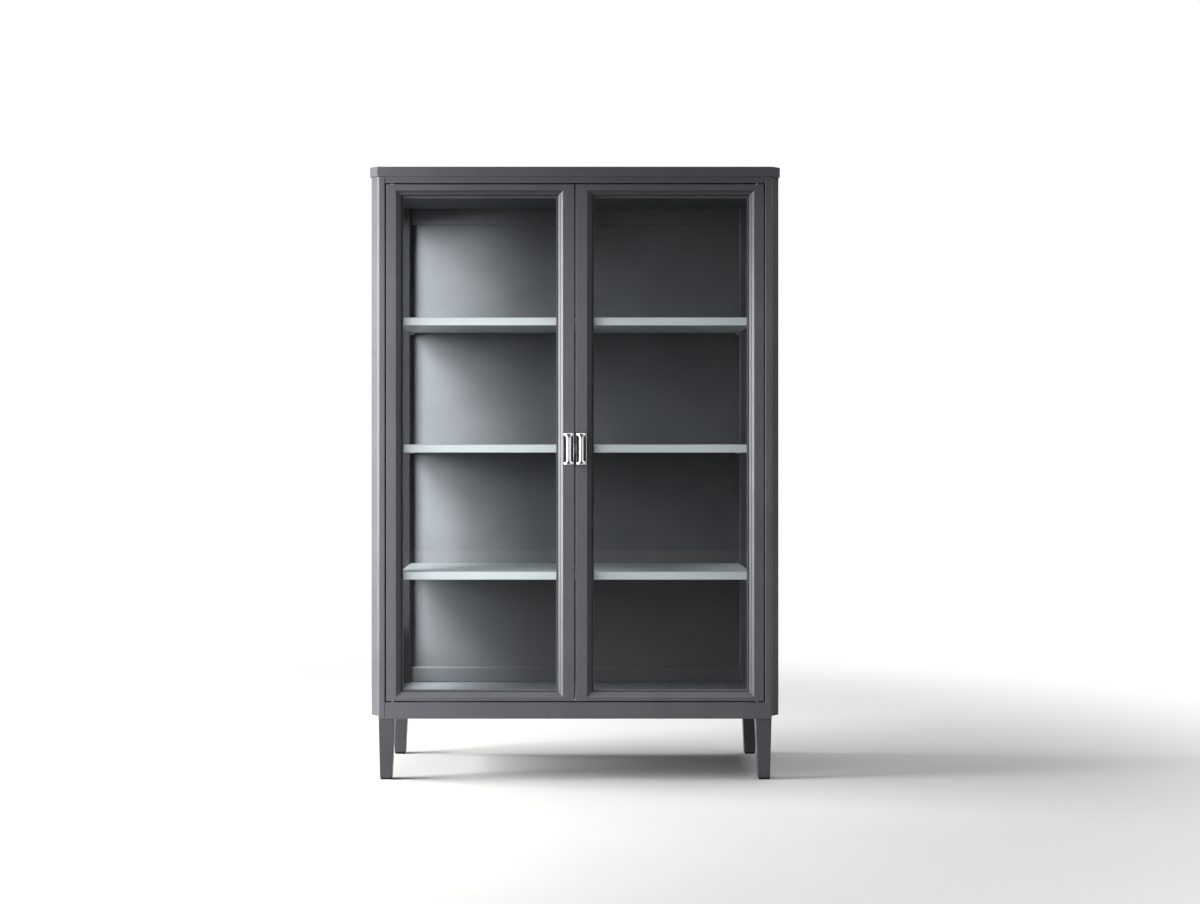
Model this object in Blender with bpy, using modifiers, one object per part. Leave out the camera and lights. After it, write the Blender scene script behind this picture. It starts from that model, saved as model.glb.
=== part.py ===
# Two-door glazed display cabinet on four tapered legs.
# Metres, +Z up, front towards -Y. The origin is on the floor, under the middle of the outside box.
# The functions below work in cabinet coordinates, with the top slab centred on x = 0 and y = 0.

import math

import bmesh
import bpy
from mathutils import Matrix, Vector

# Overall sizes
WIDTH = 1.006  # across the top slab
DEPTH = 0.400  # front to back of the top slab
HEIGHT = 1.500  # floor to the top of the slab
CLEAR = 0.0003  # gap left between two pieces that touch

# Top slab
SLAB_THICK = 0.024
SLAB_OVERHANG = 0.0035
SLAB_CHAMFER = 0.0195
SLAB_ROUND = 0.0015

# Corner posts and rails
UNDERSIDE = 0.150  # floor to the underside of the carcase
POST_WIDTH = 0.0625
FRONT_POST_DEPTH = 0.068
REAR_POST_DEPTH = 0.050
POST_CHAMFER = 0.0185
CHAMFER_ROUND = 0.010  # radius where a post's front face turns into its chamfer
POST_FACE = 0.0159  # flat front face between the chamfer and the door
FLANK_LIFT = 0.007  # the outer flanks and the sides stop this far above the underside
RAIL_LAP = 0.013  # thickness of the front rails where they lap over the posts
TOP_RAIL = 0.016
BOTTOM_RAIL = 0.040
SIDE_TOP_RAIL = 0.074
SIDE_BOTTOM_RAIL = 0.178
SIDE_RAIL_THICK = 0.020
SIDE_RAIL_INSET = 0.002
EDGE_ROUND = 0.001

# Boards and back
FLOOR_THICK = 0.018
CEILING_THICK = 0.018
CEILING_DROP = 0.033  # slab underside to ceiling underside
BACK_PANEL_THICK = 0.006
BACK_RECESS = 0.016  # from the rear faces of the posts to the panel
BACK_REBATE = 0.012  # how far the panel reaches into the rear posts
BACK_RAIL = 0.041
BACK_RAIL_THICK = 0.015
BACK_RAIL_ROUND = 0.004  # along the top of the lower rail

# Legs and glides
LEG_TOP = 0.039
LEG_FOOT = 0.029
LEG_LEAN = 0.0032  # how far the outer faces lean in from top to foot
LEG_SETBACK = 0.003
LEG_ROUND = 0.0015
SPIGOT_RADIUS = 0.006
SPIGOT_LENGTH = 0.024
SPIGOT_SUNK = 0.010  # how far the spigot starts below the top of the leg
GLIDE_HEIGHT = 0.005
GLIDE_INSET = 0.001
GLIDE_ROUND = 0.002

# Doors
DOOR_GAP = 0.003  # round each door, and between the two
DOOR_THICK = 0.022
HINGE_STILE = 0.024  # flat width, before the moulding
MEETING_STILE = 0.028
DOOR_TOP_RAIL = 0.015
DOOR_BOTTOM_RAIL = 0.010
MOULDING = 0.0115
OUTER_BEVEL = 0.0055  # width of the outer of the moulding's two bevels
OUTER_DROP = 0.0040
QUIRK = 0.0012  # small square step between the bevels
INNER_DROP = 0.0035
GLASS_THICK = 0.004
GLASS_SEAT = 0.007  # how far a pane reaches into its grooves
GLASS_LIP = 0.002  # left between the moulding's inner edge and the groove

# Pivots
PIVOT_INSET = 0.016  # from the door's hinge edge
PIVOT_SETBACK = 0.008  # from the door's front
SWING_CLEAR = 0.0025  # between the door's turning back corner and the posts
PIN_RADIUS = 0.0025
PIN_REACH = 0.016  # into the door
PIN_ROOT = 0.011  # into the rail
COLLAR_RADIUS = 0.0045

# Shelves
SHELF_COUNT = 3
SHELF_THICK = 0.020
LOWEST_SHELF = 0.5055  # floor to the top of the lowest shelf
SHELF_PITCH = 0.31475
SHELF_SETBACK = 0.053  # from the front of the carcase
SHELF_BACK_GAP = 0.008
SHELF_SIDE_GAP = 0.0025
SHELF_ROUND = 0.0015
SHELF_PIN_RADIUS = 0.0025
SHELF_PIN_ROOT = 0.010
SHELF_PIN_REACH = 0.012
SHELF_PIN_INSET = 0.009  # from the edge of its post
PIN_TIP = 0.0005

# Handles
HANDLE_HEIGHT = 0.810  # floor to the middle of the handles
HANDLE_LENGTH = 0.077
HANDLE_REACH = 0.028  # from the door's front to the front of the handle
GRIP_WIDTH = 0.012
GRIP_THICK = 0.007
HEAD_WIDTH = 0.024
HEAD_LENGTH = 0.009
HEAD_COVE = 0.004  # radius between the grip and its heads
HEAD_SLOPE = 0.0006  # how far each head's inner face falls away from its cove to its corner
NECK_WIDTH = 0.017
NECK_LENGTH = 0.007
PLATE_WIDTH = 0.0255
PLATE_THICK = 0.002
STUD_RADIUS = 0.002
STUD_SHORT = 0.002  # the studs stop this far inside the back of the door
HANDLE_ROUND = 0.0008

# Magnetic catch
CATCH_WIDTH = 0.044
CATCH_DEPTH = 0.030
CATCH_HEIGHT = 0.012
CATCH_GAP = 0.002

# Working values
SIDES = {"left": -1, "right": 1}
ROUND_SIDES = 16
ARC_STEPS = 4
PAST = 0.010  # how far a cutter runs past the faces it cuts
WELD = 0.00001  # distance at which points count as one
SHARP = math.radians(5)
TURNS = {"Z": (0, 0, 0), "Y": (math.pi / 2, 0, 0), "X": (math.pi / 2, 0, math.pi / 2)}

# Places that follow from the sizes
half_body = WIDTH / 2 - SLAB_OVERHANG
front = -(DEPTH / 2 - SLAB_OVERHANG)
rear = DEPTH / 2 - SLAB_OVERHANG
body_top = HEIGHT - SLAB_THICK
frame_top = body_top - CLEAR
flank = half_body - POST_CHAMFER
reveal = flank - POST_FACE
post_inner = half_body - POST_WIDTH
front_post_back = front + FRONT_POST_DEPTH
rear_post_front = rear - REAR_POST_DEPTH
side_bottom = UNDERSIDE + FLANK_LIFT
side_inner = half_body - SIDE_RAIL_INSET - SIDE_RAIL_THICK
floor_top = UNDERSIDE + BOTTOM_RAIL
opening_top = body_top - TOP_RAIL
ceiling = body_top - CEILING_DROP
panel_seat = rear - BACK_RECESS - BACK_PANEL_THICK
door_edge = reveal - DOOR_GAP
meeting_edge = DOOR_GAP / 2
door_bottom = floor_top + DOOR_GAP
door_top = opening_top - DOOR_GAP
door_back = front + DOOR_THICK
pivot_x = door_edge - PIVOT_INSET
pivot_y = front + PIVOT_SETBACK
stop_face = pivot_y + math.hypot(PIVOT_INSET, DOOR_THICK - PIVOT_SETBACK) + SWING_CLEAR
glass_front = front + OUTER_DROP + QUIRK + INNER_DROP + GLASS_LIP
plate_front = front - CLEAR - PLATE_THICK
handle_x = meeting_edge + MEETING_STILE / 2
head_middle = (HANDLE_LENGTH - HEAD_LENGTH) / 2
shelf_tops = [LOWEST_SHELF + SHELF_PITCH * step for step in range(SHELF_COUNT)]
shelf_names = ["lower", "middle", "upper"]
pin_rows = {"front": front_post_back - SHELF_PIN_INSET, "rear": rear_post_front + SHELF_PIN_INSET}


def new_collection(name):
    made = bpy.data.collections.new(name)
    bpy.context.scene.collection.children.link(made)
    return made


def new_empty(name, location, parent=None):
    made = bpy.data.objects.new(name, None)
    made.empty_display_size = PAST
    made.location = location
    made.parent = parent
    parts.objects.link(made)
    return made


def new_material(name, colour, roughness, metallic=0.0, transmission=0.0):
    made = bpy.data.materials.new(name)
    made.use_nodes = True
    shader = made.node_tree.nodes["Principled BSDF"]
    shader.inputs["Base Color"].default_value = (*colour, 1.0)
    shader.inputs["Roughness"].default_value = roughness
    shader.inputs["Metallic"].default_value = metallic
    shader.inputs["Transmission Weight"].default_value = transmission
    return made


def object_from(shape, name, basis):
    """An object from a bmesh, kept with the cutters until make_part makes it a piece."""
    mesh = bpy.data.meshes.new(name)
    shape.to_mesh(mesh)
    shape.free()
    made = bpy.data.objects.new(name, mesh)
    made.parent = cabinet
    made.matrix_basis = basis
    made.hide_render = True
    made.display_type = "WIRE"
    cutters.objects.link(made)
    return made


def make_part(made, material, carrier=None):
    """Makes an object a piece of the cabinet, carried by the cabinet's empty or by a door's."""
    cutters.objects.unlink(made)
    parts.objects.link(made)
    made.hide_render = False
    made.display_type = "TEXTURED"
    made.data.materials.append(material)
    if carrier:
        made.parent = carrier
        made.matrix_parent_inverse = carrier.matrix_basis.inverted()


def box(name, low, high):
    low = Vector(low)
    high = Vector(high)
    shape = bmesh.new()
    bmesh.ops.create_cube(shape, size=1.0)
    bmesh.ops.scale(shape, vec=high - low, verts=shape.verts)
    return object_from(shape, name, Matrix.Translation((low + high) / 2))


def side_box(name, side, low, high):
    """A box given for the right-hand side, put on the side with this sign."""
    first, last = sorted((side * low[0], side * high[0]))
    return box(name, (first, *low[1:]), (last, *high[1:]))


def prism(name, outline, start, end, along):
    """A flat outline, drawn square to one axis, extruded along it from start to end."""
    drawing = bpy.data.curves.new(name, "CURVE")
    drawing.dimensions = "2D"
    drawing.fill_mode = "BOTH"
    drawing.extrude = abs(end - start) / 2
    line = drawing.splines.new("POLY")
    line.points.add(len(outline) - 1)
    for point, place in zip(line.points, outline):
        point.co = (*place, 0, 1)
    line.use_cyclic_u = True
    curve = bpy.data.objects.new(name, drawing)
    curve.rotation_euler = TURNS[along]
    curve.location["XYZ".index(along)] = (start + end) / 2
    cutters.objects.link(curve)
    bpy.context.view_layer.update()
    seen = curve.evaluated_get(bpy.context.evaluated_depsgraph_get())
    mesh = bpy.data.meshes.new_from_object(seen)
    shape = bmesh.new()
    shape.from_mesh(mesh)
    bmesh.ops.remove_doubles(shape, verts=shape.verts, dist=WELD)
    bmesh.ops.recalc_face_normals(shape, faces=shape.faces)
    bmesh.ops.dissolve_limit(shape, angle_limit=math.radians(1), verts=shape.verts, edges=shape.edges)
    basis = curve.matrix_world.copy()
    bpy.data.objects.remove(curve)
    bpy.data.meshes.remove(mesh)
    return object_from(shape, name, basis)


def rod(name, radius, start, end):
    """A round rod between two points."""
    start = Vector(start)
    end = Vector(end)
    length = (end - start).length
    shape = bmesh.new()
    bmesh.ops.create_cone(
        shape, cap_ends=True, segments=ROUND_SIDES, radius1=radius, radius2=radius, depth=length
    )
    turn = (end - start).to_track_quat("Z", "Y").to_matrix().to_4x4()
    return object_from(shape, name, Matrix.Translation((start + end) / 2) @ turn)


def turned(name, profile, base, direction):
    """A turned piece from (radius, height) points that run from its top down its outer side."""
    shape = bmesh.new()
    points = [shape.verts.new((radius, 0, height)) for radius, height in profile]
    for upper, lower in zip(points, points[1:]):
        shape.edges.new((upper, lower))
    turn = Vector(direction).to_track_quat("Z", "Y").to_matrix().to_4x4()
    made = object_from(shape, name, Matrix.Translation(base) @ turn)
    spin = made.modifiers.new("Turn", "SCREW")
    spin.steps = ROUND_SIDES
    spin.render_steps = ROUND_SIDES
    spin.use_merge_vertices = True
    spin.merge_threshold = WELD
    return made


def change(part, other, operation):
    step = part.modifiers.new(other.name, "BOOLEAN")
    step.operation = operation
    step.solver = "EXACT"
    step.object = other


def cut(part, *others):
    for other in others:
        change(part, other, "DIFFERENCE")


def join(part, *others):
    for other in others:
        change(part, other, "UNION")


def round_edges(part, radius, chosen, segments=2):
    """Rounds each sharp edge whose two ends, in cabinet coordinates, pass the test."""
    shape = bmesh.new()
    shape.from_mesh(part.data)
    sharp = [edge for edge in shape.edges if edge.calc_face_angle() > SHARP]
    edges = [edge for edge in sharp if chosen(*[part.matrix_basis @ vert.co for vert in edge.verts])]
    bmesh.ops.bevel(
        shape, geom=edges, offset=radius, offset_type="OFFSET", segments=segments, profile=0.5,
        affect="EDGES",
    )
    shape.to_mesh(part.data)
    shape.free()


def on(axis, value):
    """A test for edges that lie in the plane where this axis has this value."""
    return lambda *ends: all(abs(end["xyz".index(axis)] - value) < WELD for end in ends)


def both(*tests):
    return lambda *ends: all(test(*ends) for test in tests)


def either(*tests):
    return lambda *ends: any(test(*ends) for test in tests)


def arc(centre, radius, start, end):
    """Points along an arc, from one angle to another in degrees."""
    turns = [math.radians(start + (end - start) * step / ARC_STEPS) for step in range(ARC_STEPS + 1)]
    return [(centre[0] + radius * math.cos(t), centre[1] + radius * math.sin(t)) for t in turns]


def across(outline, side=-1):
    """The outline on the side with this sign."""
    return [(side * x, y) for x, y in outline]


def make_slab():
    half = WIDTH / 2
    half_plan = [
        (half - SLAB_CHAMFER, -DEPTH / 2),
        (half, -DEPTH / 2 + SLAB_CHAMFER),
        (half, DEPTH / 2),
    ]
    slab = prism("top_slab", half_plan + across(half_plan[::-1]), body_top, HEIGHT, "Z")
    round_edges(slab, SLAB_ROUND, either(on("z", HEIGHT), on("z", body_top)))
    make_part(slab, lacquer)


def front_post_plan():
    """The right front post: a nose beside the door, a rounded chamfer, and the body behind the door."""
    tangent = CHAMFER_ROUND * math.tan(math.radians(45) / 2)
    return [
        (post_inner, stop_face),
        (reveal, stop_face),
        (reveal, front + EDGE_ROUND),
        (reveal + EDGE_ROUND, front),
        *arc((flank - tangent, front + CHAMFER_ROUND), CHAMFER_ROUND, -90, -45),
        (half_body, front + POST_CHAMFER),
        (half_body, front_post_back),
        (post_inner, front_post_back),
    ]


def rear_post_plan():
    """The right rear post, with a rebate for the back panel."""
    rebate = post_inner + BACK_REBATE
    return [
        (post_inner, rear_post_front),
        (half_body, rear_post_front),
        (half_body, rear),
        (rebate, rear),
        (rebate, panel_seat),
        (post_inner, panel_seat),
    ]


def make_posts(pane_slots, leg_bores, shelf_bores):
    plans = {"front": front_post_plan(), "rear": rear_post_plan()}
    for row, plan in plans.items():
        for side_name, side in SIDES.items():
            name = f"{row}_{side_name}_post"
            post = prism(name, across(plan, side), UNDERSIDE, frame_top, "Z")
            if row == "front":
                # Above and below the door the post comes forward to the rails' laps.
                for end, low, high in (("foot", UNDERSIDE, floor_top), ("head", opening_top, frame_top)):
                    near = (post_inner, front + RAIL_LAP, low)
                    far = (reveal + CHAMFER_ROUND / 2, stop_face + CHAMFER_ROUND / 2, high)
                    join(post, side_box(f"{name}_{end}", side, near, far))
            near = (flank, front - PAST, UNDERSIDE - PAST)
            far = (half_body + PAST, rear + PAST, side_bottom)
            lift = side_box(f"{name}_lift", side, near, far)
            cut(post, lift, pane_slots[side_name], leg_bores[row, side_name], *shelf_bores[row])
            make_part(post, lacquer)


def make_front_rails(pivot_bores):
    """The rails above and below the doors, with tongues that lap over the front posts."""
    lap = front + RAIL_LAP - CLEAR
    half_plan = [
        (reveal - CLEAR, front),
        (reveal - CLEAR, lap),
        (post_inner - CLEAR, lap),
        (post_inner - CLEAR, stop_face - CLEAR),
    ]
    plan = half_plan + across(half_plan[::-1])
    for end, low, high, door_side in (
        ("bottom", UNDERSIDE, floor_top, floor_top),
        ("top", opening_top, frame_top, opening_top),
    ):
        rail = prism(f"front_{end}_rail", plan, low, high, "Z")
        round_edges(rail, EDGE_ROUND, both(on("y", front), on("z", door_side)))
        cut(rail, *[pivot_bores[end, side_name] for side_name in SIDES])
        make_part(rail, lacquer)


def make_boards():
    """The floor and the ceiling, notched round the four posts."""
    half_plan = [
        (post_inner - CLEAR, stop_face),
        (post_inner - CLEAR, front_post_back + CLEAR),
        (side_inner - CLEAR, front_post_back + CLEAR),
        (side_inner - CLEAR, rear_post_front - CLEAR),
        (post_inner - CLEAR, rear_post_front - CLEAR),
        (post_inner - CLEAR, panel_seat),
    ]
    plan = half_plan + across(half_plan[::-1])
    make_part(prism("floor_panel", plan, floor_top - FLOOR_THICK, floor_top, "Z"), lacquer)
    make_part(prism("ceiling_panel", plan, ceiling, ceiling + CEILING_THICK, "Z"), lacquer)


def make_back():
    half = post_inner + BACK_REBATE - CLEAR
    near = panel_seat + CLEAR
    panel = box("back_panel", (-half, near, side_bottom), (half, near + BACK_PANEL_THICK, frame_top))
    make_part(panel, lacquer)
    half = post_inner - CLEAR
    face = panel_seat - BACK_RAIL_THICK
    lower_edge = floor_top + BACK_RAIL
    upper_edge = ceiling - BACK_RAIL
    for name, low, high, edge, radius in (
        ("back_bottom_rail", floor_top + CLEAR, lower_edge, lower_edge, BACK_RAIL_ROUND),
        ("back_top_rail", upper_edge, ceiling - CLEAR, upper_edge, EDGE_ROUND),
    ):
        rail = box(name, (-half, face, low), (half, panel_seat, high))
        round_edges(rail, radius, both(on("y", face), on("z", edge)))
        make_part(rail, lacquer)


def pane_box(name, side, spare):
    """A side pane, or with a spare gap the grooves that hold it."""
    middle = side_inner + SIDE_RAIL_THICK / 2
    half = GLASS_THICK / 2 + spare
    seat = GLASS_SEAT + spare
    near = (middle - half, front_post_back - seat, side_bottom + SIDE_BOTTOM_RAIL - seat)
    far = (middle + half, rear_post_front + seat, frame_top - SIDE_TOP_RAIL + seat)
    return side_box(name, side, near, far)


def make_sides(pane_slots):
    """A glass pane in each side, held by the posts and by a rail above and below."""
    for side_name, side in SIDES.items():
        for end, low, high in (
            ("bottom", side_bottom, side_bottom + SIDE_BOTTOM_RAIL),
            ("top", frame_top - SIDE_TOP_RAIL, frame_top),
        ):
            near = (side_inner, front_post_back + CLEAR, low)
            far = (side_inner + SIDE_RAIL_THICK, rear_post_front - CLEAR, high)
            rail = side_box(f"{side_name}_side_{end}_rail", side, near, far)
            cut(rail, pane_slots[side_name])
            make_part(rail, lacquer)
        make_part(pane_box(f"{side_name}_side_glass", side, 0), glass)


def leg_corner(row):
    """The leg's front or rear outer face at the top, and the direction from there to its middle."""
    return (front + LEG_SETBACK, 1) if row == "front" else (rear - LEG_SETBACK, -1)


def leg_middle(row, side):
    edge, inward = leg_corner(row)
    return side * (flank - LEG_TOP / 2), edge + inward * LEG_TOP / 2


def make_legs():
    top = UNDERSIDE - CLEAR
    for row in ("front", "rear"):
        edge, inward = leg_corner(row)
        for side_name, side in SIDES.items():
            shape = bmesh.new()
            bmesh.ops.create_cube(shape, size=1.0)
            for vert in shape.verts:
                at_top = vert.co.z > 0
                width = LEG_TOP if at_top else LEG_FOOT
                lean = 0 if at_top else LEG_LEAN
                height = top if at_top else GLIDE_HEIGHT
                x = flank - lean - width * (vert.co.x + 0.5)
                y = lean + width * (vert.co.y + 0.5)
                vert.co = (side * x, edge + inward * y, height)
            bmesh.ops.recalc_face_normals(shape, faces=shape.faces)
            leg = object_from(shape, f"{row}_{side_name}_leg", Matrix())
            round_edges(leg, LEG_ROUND, lambda first, second: abs(first.z - second.z) > LEG_FOOT)
            x, y = leg_middle(row, side)
            spigot = rod(
                f"{leg.name}_spigot", SPIGOT_RADIUS, (x, y, top - SPIGOT_SUNK), (x, y, top + SPIGOT_LENGTH)
            )
            join(leg, spigot)
            make_part(leg, lacquer)
            make_glide(row, side_name, side, edge, inward)


def make_glide(row, side_name, side, edge, inward):
    inset = LEG_LEAN + GLIDE_INSET
    width = LEG_FOOT - 2 * GLIDE_INSET
    ends = sorted((edge + inward * inset, edge + inward * (inset + width)))
    near = (flank - inset - width, ends[0], 0)
    far = (flank - inset, ends[1], GLIDE_HEIGHT - CLEAR)
    glide = side_box(f"{row}_{side_name}_glide", side, near, far)
    round_edges(glide, GLIDE_ROUND, on("z", 0))
    make_part(glide, nylon)


def make_shelves():
    half = post_inner - SHELF_SIDE_GAP
    near = front + SHELF_SETBACK
    for name, top in zip(shelf_names, shelf_tops):
        shelf = box(
            f"{name}_shelf",
            (-half, near, top - SHELF_THICK),
            (half, panel_seat - SHELF_BACK_GAP, top),
        )
        round_edges(shelf, SHELF_ROUND, on("y", near))
        make_part(shelf, shelf_lacquer)
        for row, y in pin_rows.items():
            for side_name, side in SIDES.items():
                base = (side * (post_inner + SHELF_PIN_ROOT), y, pin_height(top))
                length = SHELF_PIN_ROOT + SHELF_PIN_REACH
                profile = [
                    (0, length),
                    (SHELF_PIN_RADIUS - PIN_TIP, length),
                    (SHELF_PIN_RADIUS, length - PIN_TIP),
                    (SHELF_PIN_RADIUS, 0),
                    (0, 0),
                ]
                pin = turned(f"{name}_shelf_pin_{row}_{side_name}", profile, base, (-side, 0, 0))
                make_part(pin, steel)


def pin_height(shelf_top):
    return shelf_top - SHELF_THICK - CLEAR - SHELF_PIN_RADIUS


def make_shelf_bores():
    """One long cutter for each shelf and row, which drills the left and the right post alike."""
    reach = post_inner + SHELF_PIN_ROOT + CLEAR
    bores = {}
    for row, y in pin_rows.items():
        bores[row] = []
        for name, top in zip(shelf_names, shelf_tops):
            z = pin_height(top)
            bore = rod(f"{name}_{row}_bore", SHELF_PIN_RADIUS + CLEAR, (-reach, y, z), (reach, y, z))
            bores[row].append(bore)
    return bores


def make_leg_bores():
    bores = {}
    for row in ("front", "rear"):
        for side_name, side in SIDES.items():
            x, y = leg_middle(row, side)
            bores[row, side_name] = rod(
                f"{row}_{side_name}_leg_bore",
                SPIGOT_RADIUS + CLEAR,
                (x, y, UNDERSIDE - PAST),
                (x, y, UNDERSIDE + SPIGOT_LENGTH + CLEAR),
            )
    return bores


def pivot_ends(end):
    """The rail's face at this end of the door, and the direction from there into the door."""
    return (floor_top, 1) if end == "bottom" else (opening_top, -1)


def make_pivot_bores():
    bores = {}
    for end in ("bottom", "top"):
        face, into = pivot_ends(end)
        for side_name, side in SIDES.items():
            start = (side * pivot_x, pivot_y, face - into * (PIN_ROOT + CLEAR))
            stop = (side * pivot_x, pivot_y, face + into * (DOOR_GAP + PIN_REACH + CLEAR))
            bores[end, side_name] = rod(f"{side_name}_{end}_pivot_bore", PIN_RADIUS + CLEAR, start, stop)
    return bores


def make_pivot_pins():
    """A pin at the top and the foot of each hinge stile, with a collar in the gap to carry the door."""
    shoulder = PIN_ROOT + CLEAR
    collar = PIN_ROOT + DOOR_GAP - CLEAR
    length = PIN_ROOT + DOOR_GAP + PIN_REACH
    profile = [
        (0, length),
        (PIN_RADIUS, length),
        (PIN_RADIUS, collar),
        (COLLAR_RADIUS, collar),
        (COLLAR_RADIUS, shoulder),
        (PIN_RADIUS, shoulder),
        (PIN_RADIUS, 0),
        (0, 0),
    ]
    for end in ("bottom", "top"):
        face, into = pivot_ends(end)
        for side_name, side in SIDES.items():
            base = (side * pivot_x, pivot_y, face - into * PIN_ROOT)
            make_part(turned(f"{side_name}_door_{end}_pivot", profile, base, (0, 0, into)), steel)


def moulding_cut(place):
    """The waste in front of the moulding: place turns a distance from the flat edge into a coordinate."""
    outer_slope = OUTER_DROP / OUTER_BEVEL
    inner_slope = INNER_DROP / (MOULDING - OUTER_BEVEL)
    quirk_foot = front + OUTER_DROP + QUIRK
    clear_front = front - outer_slope * PAST
    return [
        (place(-PAST), clear_front),
        (place(OUTER_BEVEL), front + OUTER_DROP),
        (place(OUTER_BEVEL), quirk_foot),
        (place(MOULDING + PAST), quirk_foot + inner_slope * (MOULDING + PAST - OUTER_BEVEL)),
        (place(MOULDING + PAST), clear_front),
    ]


def door_glass_box(name, side, spare):
    """A door's pane, or with a spare gap the grooves that hold it."""
    reach = MOULDING - GLASS_SEAT - spare
    low = door_bottom + DOOR_BOTTOM_RAIL + reach
    high = door_top - DOOR_TOP_RAIL - reach
    near = (meeting_edge + MEETING_STILE + reach, glass_front - spare, low)
    far = (door_edge - HINGE_STILE - reach, glass_front + GLASS_THICK + spare, high)
    return side_box(name, side, near, far)


def make_stile(name, side, edge, inward, flat):
    """An upright of a door: full height in its flat part, with its moulding mitred at both ends."""
    low = door_bottom + DOOR_BOTTOM_RAIL
    high = door_top - DOOR_TOP_RAIL
    line = edge + inward * flat
    sight = line + inward * MOULDING
    outline = [
        (edge, door_bottom),
        (line, door_bottom),
        (line, low),
        (sight, low + MOULDING),
        (sight, high - MOULDING),
        (line, high),
        (line, door_top),
        (edge, door_top),
    ]
    stile = prism(name, across(outline, side), front, door_back, "Y")
    rim = either(on("x", side * edge), on("z", door_bottom), on("z", door_top))
    round_edges(stile, EDGE_ROUND, both(rim, either(on("y", front), on("y", door_back))))
    waste = moulding_cut(lambda distance: side * (line + inward * distance))
    cut(stile, prism(f"{name}_moulding", waste, door_bottom - PAST, door_top + PAST, "Z"))
    return stile


def make_door_rail(name, side, edge, inward, flat):
    """A cross rail of a door, between the flat parts of its stiles."""
    hinge_end = door_edge - HINGE_STILE - CLEAR
    meeting_end = meeting_edge + MEETING_STILE + CLEAR
    line = edge + inward * flat
    sight = line + inward * MOULDING
    outline = [
        (hinge_end, edge),
        (hinge_end, line),
        (hinge_end - MOULDING, sight),
        (meeting_end + MOULDING, sight),
        (meeting_end, line),
        (meeting_end, edge),
    ]
    rail = prism(name, across(outline, side), front, door_back, "Y")
    round_edges(rail, EDGE_ROUND, both(on("z", edge), either(on("y", front), on("y", door_back))))
    waste = [(y, z) for z, y in moulding_cut(lambda distance: line + inward * distance)]
    cut(rail, prism(f"{name}_moulding", waste, side * (meeting_end - PAST), side * (hinge_end + PAST), "X"))
    return rail


def make_door(side_name, side, pivot_bores):
    name = f"{side_name}_door"
    carrier = new_empty(f"{name}_hinge", (side * pivot_x, pivot_y, door_bottom), cabinet)
    grooves = door_glass_box(f"{name}_grooves", side, CLEAR)
    hinge_stile = make_stile(f"{name}_hinge_stile", side, door_edge, -1, HINGE_STILE)
    meeting_stile = make_stile(f"{name}_meeting_stile", side, meeting_edge, 1, MEETING_STILE)
    top_rail = make_door_rail(f"{name}_top_rail", side, door_top, -1, DOOR_TOP_RAIL)
    bottom_rail = make_door_rail(f"{name}_bottom_rail", side, door_bottom, 1, DOOR_BOTTOM_RAIL)
    cut(hinge_stile, pivot_bores["bottom", side_name], pivot_bores["top", side_name])
    stud_bores = make_stud_bores(side_name, side)
    cut(meeting_stile, *stud_bores)
    for member in (hinge_stile, meeting_stile, top_rail, bottom_rail):
        cut(member, grooves)
        make_part(member, lacquer, carrier)
    make_part(door_glass_box(f"{name}_glass", side, 0), glass, carrier)
    make_handle(side_name, side, stud_bores, carrier)


def stud_heights():
    return HANDLE_HEIGHT - head_middle, HANDLE_HEIGHT + head_middle


def make_stud_bores(side_name, side):
    bores = []
    for number, z in enumerate(stud_heights()):
        start = (side * handle_x, plate_front - PAST / 2, z)
        stop = (side * handle_x, door_back + PAST, z)
        bores.append(rod(f"{side_name}_stud_bore_{number}", STUD_RADIUS + CLEAR, start, stop))
    return bores


def make_handle(side_name, side, stud_bores, carrier):
    """A bridge pull with flared heads, whose two studs go through a backplate and the stile."""
    half = HANDLE_LENGTH / 2
    middle = side * handle_x
    near = (middle - PLATE_WIDTH / 2, plate_front, HANDLE_HEIGHT - half)
    far = (middle + PLATE_WIDTH / 2, front - CLEAR, HANDLE_HEIGHT + half)
    plate = box(f"{side_name}_handle_plate", near, far)
    round_edges(plate, HANDLE_ROUND, on("y", plate_front))
    cut(plate, *stud_bores)
    make_part(plate, nylon, carrier)

    shoulder = half - HEAD_LENGTH
    cove = arc((GRIP_WIDTH / 2 + HEAD_COVE, shoulder - HEAD_COVE), HEAD_COVE, 180, 90)
    quarter = [*cove, (HEAD_WIDTH / 2, shoulder + HEAD_SLOPE), (HEAD_WIDTH / 2, half)]
    upper = quarter + across(quarter[::-1])
    outline = upper + [(-x, -z) for x, z in upper]
    outline = [(middle + x, HANDLE_HEIGHT + z) for x, z in outline]
    reach = front - HANDLE_REACH
    handle = prism(f"{side_name}_handle", outline, reach, reach + GRIP_THICK, "Y")
    round_edges(handle, HANDLE_ROUND, either(on("y", reach), on("y", reach + GRIP_THICK)))
    for number, z in enumerate(stud_heights()):
        inside = reach + GRIP_THICK / 2
        low = (middle - NECK_WIDTH / 2, inside, z - NECK_LENGTH / 2)
        neck = box(
            f"{handle.name}_neck_{number}", low,
            (middle + NECK_WIDTH / 2, plate_front - CLEAR, z + NECK_LENGTH / 2),
        )
        stud = rod(
            f"{handle.name}_stud_{number}", STUD_RADIUS, (middle, inside, z),
            (middle, door_back - STUD_SHORT, z),
        )
        join(handle, neck, stud)
    make_part(handle, chrome, carrier)


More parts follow.
